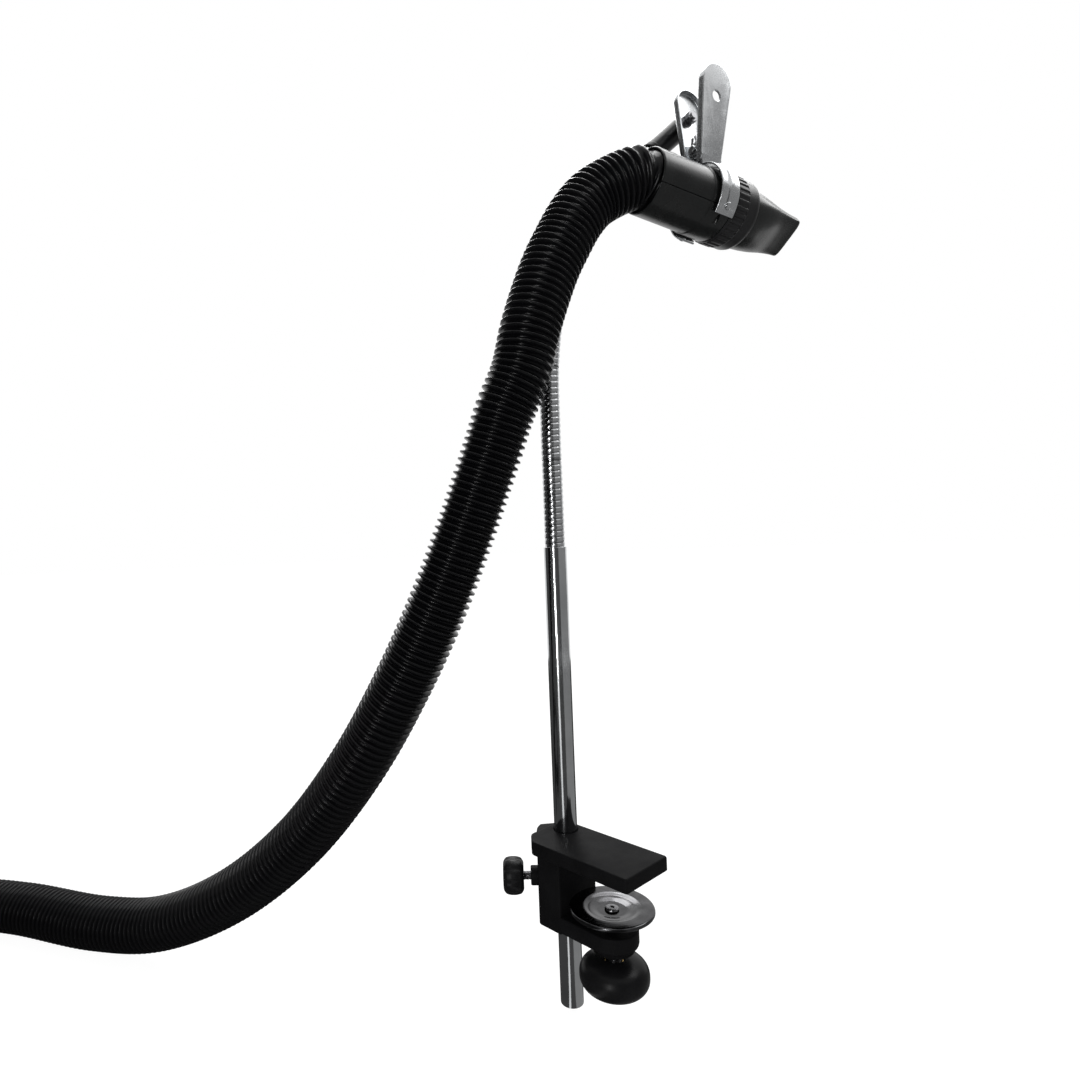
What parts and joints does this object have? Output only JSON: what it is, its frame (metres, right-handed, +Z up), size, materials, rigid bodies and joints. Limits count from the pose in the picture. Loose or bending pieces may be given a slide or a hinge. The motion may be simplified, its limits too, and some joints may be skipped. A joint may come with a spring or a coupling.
{
  "type": "pet dryer hose and nozzle stand",
  "caption": "Pet dryer air hose with a flat nozzle, held by a sprung clip on a flexible neck, a sliding rod and a screw clamp for a table edge.",
  "frame": {"origin": "middle of the flat underside of the upper jaw, on the clamp screw's axis, where the clamp bears on the table top", "axes": "+Z up along the rod, +X from the rod to the tip of the jaws, +Y to the side the nozzle points to"},
  "size_m": [0.647, 0.999, 0.6731],
  "materials": {
    "black_casting": "satin black paint on a casting",
    "dark_steel": "polished dark steel",
    "chrome_steel": "bright chrome plate",
    "brass_insert": "turned brass",
    "gloss_knob": "polished black plastic",
    "gloss_handle": "gloss black moulded plastic",
    "satin_plastic": "satin black moulded plastic",
    "hose_plastic": "gloss black ribbed hose",
    "rubber_pad": "matt black rubber"
  },
  "bodies": {
    "clamp": {"clamp_body": "black_casting"},
    "pressure_pad": {"pressure_disc": "dark_steel"},
    "clamp_screw": {"clamp_screw": "dark_steel", "clamp_knob": "gloss_knob", "knob_insert": "brass_insert"},
    "lock_tip": {"rod_lock_tip": "brass_insert"},
    "lock_screw": {"rod_lock_screw": "dark_steel", "rod_lock_knob": "gloss_knob"},
    "rod_plug": {"rod_end_plug": "satin_plastic"},
    "rod": {"support_rod": "chrome_steel", "gooseneck_1": "chrome_steel"},
    "neck_2": {"gooseneck_2": "chrome_steel"},
    "neck_3": {"gooseneck_3": "chrome_steel"},
    "neck_4": {"gooseneck_4": "chrome_steel"},
    "neck_5": {"gooseneck_5": "chrome_steel", "neck_fitting": "black_casting"},
    "clip_base": {"clip_rear_lever": "chrome_steel", "clip_rear_pad": "rubber_pad", "clip_rear_rivet": "chrome_steel", "clip_pin": "chrome_steel", "clip_spring": "dark_steel", "swivel_bolt": "dark_steel", "swivel_nut": "dark_steel", "swivel_washer": "dark_steel", "dryer_hose": "hose_plastic", "hose_coil": "hose_plastic", "hose_tie": "rubber_pad", "blower_cuff": "satin_plastic", "cuff_ring": "gloss_handle"},
    "clip_front": {"clip_front_lever": "chrome_steel", "clip_front_pad": "rubber_pad", "clip_front_rivet": "chrome_steel"},
    "handle": {"handle_upper_shell": "gloss_handle", "handle_lower_shell": "gloss_handle", "handle_screw_1": "dark_steel", "handle_screw_2": "dark_steel", "hose_stop_ring": "rubber_pad", "collar_seal": "rubber_pad"},
    "nozzle": {"nozzle_collar": "satin_plastic", "flat_nozzle": "satin_plastic"}
  },
  "joints": [
    {"name": "clamp_travel", "type": "slide", "parent": "clamp", "child": "pressure_pad", "axis": [0, 0, 1], "range_m": [-0.005, 0.0045]},
    {"name": "clamp_turn", "type": "hinge", "parent": "pressure_pad", "child": "clamp_screw", "pos_m": [0, 0, -0.05], "axis": [0, 0, 1], "range_deg": [-1201, 1081]},
    {"name": "lock_travel", "type": "slide", "parent": "clamp", "child": "lock_tip", "axis": [-0.7071, -0.7071, 0], "range_m": [0, 0.003]},
    {"name": "lock_turn", "type": "hinge", "parent": "lock_tip", "child": "lock_screw", "pos_m": [-0.0455, 0.0103, -0.0233], "axis": [-0.7071, -0.7071, 0], "range_deg": [0, 1081]},
    {"name": "rod_height", "type": "slide", "parent": "clamp", "child": "rod_plug", "axis": [0, 0, 1], "range_m": [-0.15, 0.06]},
    {"name": "rod_turn", "type": "hinge", "parent": "rod_plug", "child": "rod", "pos_m": [-0.0455, 0.0103, 0], "axis": [0, 0, 1], "range_deg": [-60, 60]},
    {"name": "neck_bend_1", "type": "hinge", "parent": "rod", "child": "neck_2", "pos_m": [-0.04551, 0.01024, 0.2664], "axis": [1, 0, 0], "range_deg": [-10, 10], "deforming": ["dryer_hose"]},
    {"name": "neck_bend_2", "type": "hinge", "parent": "neck_2", "child": "neck_3", "pos_m": [-0.0454, 0.01111, 0.33238], "axis": [0, 1, 0], "range_deg": [-10, 10], "deforming": ["dryer_hose"]},
    {"name": "neck_bend_3", "type": "hinge", "parent": "neck_3", "child": "neck_4", "pos_m": [-0.0425, 0.0245, 0.39669], "axis": [1, 0, 0], "range_deg": [-10, 10], "deforming": ["dryer_hose"]},
    {"name": "neck_bend_4", "type": "hinge", "parent": "neck_4", "child": "neck_5", "pos_m": [-0.0341, 0.05809, 0.4526], "axis": [0, 0.775, -0.632], "range_deg": [-10, 10], "deforming": ["dryer_hose"]},
    {"name": "clip_swivel", "type": "hinge", "parent": "neck_5", "child": "clip_base", "pos_m": [0.00468, 0.12512, 0.53053], "axis": [-0.9613, 0.2373, -0.1403], "range_deg": [-30, 30], "deforming": ["dryer_hose"]},
    {"name": "clip_open", "type": "hinge", "parent": "clip_base", "child": "clip_front", "pos_m": [0.01841, 0.1181, 0.49609], "axis": [-0.2517, -0.963, 0.0958], "range_deg": [0, 15], "stiffness_Nm_per_rad": 1.5, "springref_deg": -22.92, "deforming": ["clip_spring"]},
    {"name": "handle_turn", "type": "hinge", "parent": "clip_base", "child": "handle", "pos_m": [0.0066, 0.0585, 0.4609], "axis": [0.2517, 0.963, -0.0958], "range_deg": [-90, 90]},
    {"name": "nozzle_turn", "type": "hinge", "parent": "handle", "child": "nozzle", "pos_m": [0.0066, 0.0585, 0.4609], "axis": [0.2517, 0.963, -0.0958], "continuous": true}
  ],
  "couplings": [
    {"joint": "clamp_turn", "follows": "clamp_travel", "rad_per_m": 4188.8},
    {"joint": "lock_turn", "follows": "lock_travel", "rad_per_m": 6283.2},
    {"joint": "neck_bend_3", "follows": "neck_bend_1", "ratio": 1},
    {"joint": "neck_bend_4", "follows": "neck_bend_2", "ratio": 1}
  ]
}
